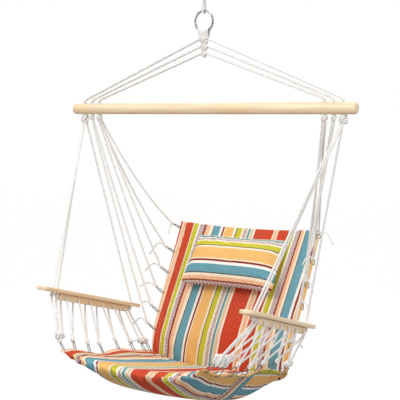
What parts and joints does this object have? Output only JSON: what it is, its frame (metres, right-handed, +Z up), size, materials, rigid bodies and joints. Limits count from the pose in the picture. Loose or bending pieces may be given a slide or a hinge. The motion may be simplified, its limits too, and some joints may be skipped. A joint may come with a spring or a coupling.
{
  "type": "hammock chair",
  "caption": "Hanging chair with a padded striped sling seat and pillow, laced to wooden armrests and hung by ropes from a wooden spreader bar and a steel ring.",
  "frame": {"origin": "inside top of the rope loop that the chair hangs by, where it rests on its hook", "axes": "+Z up, the sitter looks along -Y, the spreader bar lies along X; left is -X, as seen from the front"},
  "size_m": [1, 0.6334, 1.2712],
  "materials": {
    "cotton_rope": "twisted white cotton rope",
    "polished_steel": "polished zinc-plated steel",
    "dark_steel": "dark plated steel wire",
    "pine": "clear-varnished pale pine",
    "striped_fabric": "padded woven polyester with rust, teal, lime, tan and cream stripes",
    "pillow_fabric": "the same striped fabric with its stripes running across"
  },
  "bodies": {
    "hanger": {"hanging_loop": "cotton_rope", "hanging_knot": "cotton_rope"},
    "rope": {"hanging_rope": "cotton_rope"},
    "ring": {"steel_ring": "polished_steel"},
    "fan": {"ring_hitch": "cotton_rope", "fan_rope_left_outer": "cotton_rope", "fan_rope_left_middle": "cotton_rope", "fan_rope_left_inner": "cotton_rope", "fan_rope_right_outer": "cotton_rope", "fan_rope_right_middle": "cotton_rope", "fan_rope_right_inner": "cotton_rope"},
    "chair": {"spreader_bar": "pine", "armrest_rope_left": "cotton_rope", "lower_back_rope_left": "cotton_rope", "upper_back_rope_left": "cotton_rope", "armrest_board_left": "pine", "armrest_rail_left": "pine", "armrest_lacing_left": "cotton_rope", "rail_screw_left_front": "polished_steel", "rail_screw_left_rear": "polished_steel", "back_link_left_1": "dark_steel", "back_link_left_2": "dark_steel", "back_link_left_3": "dark_steel", "back_link_left_4": "dark_steel", "back_link_left_5": "dark_steel", "back_link_left_6": "dark_steel", "seat_link_left_1": "dark_steel", "seat_link_left_2": "dark_steel", "seat_link_left_3": "dark_steel", "seat_link_left_4": "dark_steel", "seat_link_left_5": "dark_steel", "seat_link_left_6": "dark_steel", "seat_link_left_7": "dark_steel", "seat_link_left_8": "dark_steel", "armrest_rope_right": "cotton_rope", "lower_back_rope_right": "cotton_rope", "upper_back_rope_right": "cotton_rope", "armrest_board_right": "pine", "armrest_rail_right": "pine", "armrest_lacing_right": "cotton_rope", "rail_screw_right_front": "polished_steel", "rail_screw_right_rear": "polished_steel", "back_link_right_1": "dark_steel", "back_link_right_2": "dark_steel", "back_link_right_3": "dark_steel", "back_link_right_4": "dark_steel", "back_link_right_5": "dark_steel", "back_link_right_6": "dark_steel", "seat_link_right_1": "dark_steel", "seat_link_right_2": "dark_steel", "seat_link_right_3": "dark_steel", "seat_link_right_4": "dark_steel", "seat_link_right_5": "dark_steel", "seat_link_right_6": "dark_steel", "seat_link_right_7": "dark_steel", "seat_link_right_8": "dark_steel", "back_panel": "striped_fabric", "seat_panel": "striped_fabric", "seat_strap": "striped_fabric"},
    "pillow": {"pillow": "pillow_fabric"}
  },
  "joints": [
    {"name": "rope_twist", "type": "hinge", "parent": "hanger", "child": "rope", "pos_m": [0, 0, -0.071], "axis": [0, 0, 1], "range_deg": [-180, 180]},
    {"name": "ring_swing", "type": "hinge", "parent": "rope", "child": "ring", "pos_m": [0, 0, -0.125], "axis": [1, 0, 0], "range_deg": [-30, 30]},
    {"name": "fan_tilt", "type": "hinge", "parent": "ring", "child": "fan", "pos_m": [0, 0, -0.156], "axis": [0, 1, 0], "range_deg": [-20, 20]},
    {"name": "bar_swing", "type": "hinge", "parent": "fan", "child": "chair", "pos_m": [0, 0, -0.412], "axis": [1, 0, 0], "range_deg": [-20, 20]},
    {"name": "pillow_flip", "type": "hinge", "parent": "chair", "child": "pillow", "pos_m": [0, 0.2206, -0.8192], "axis": [-1, 0, 0], "range_deg": [0, 100]}
  ]
}
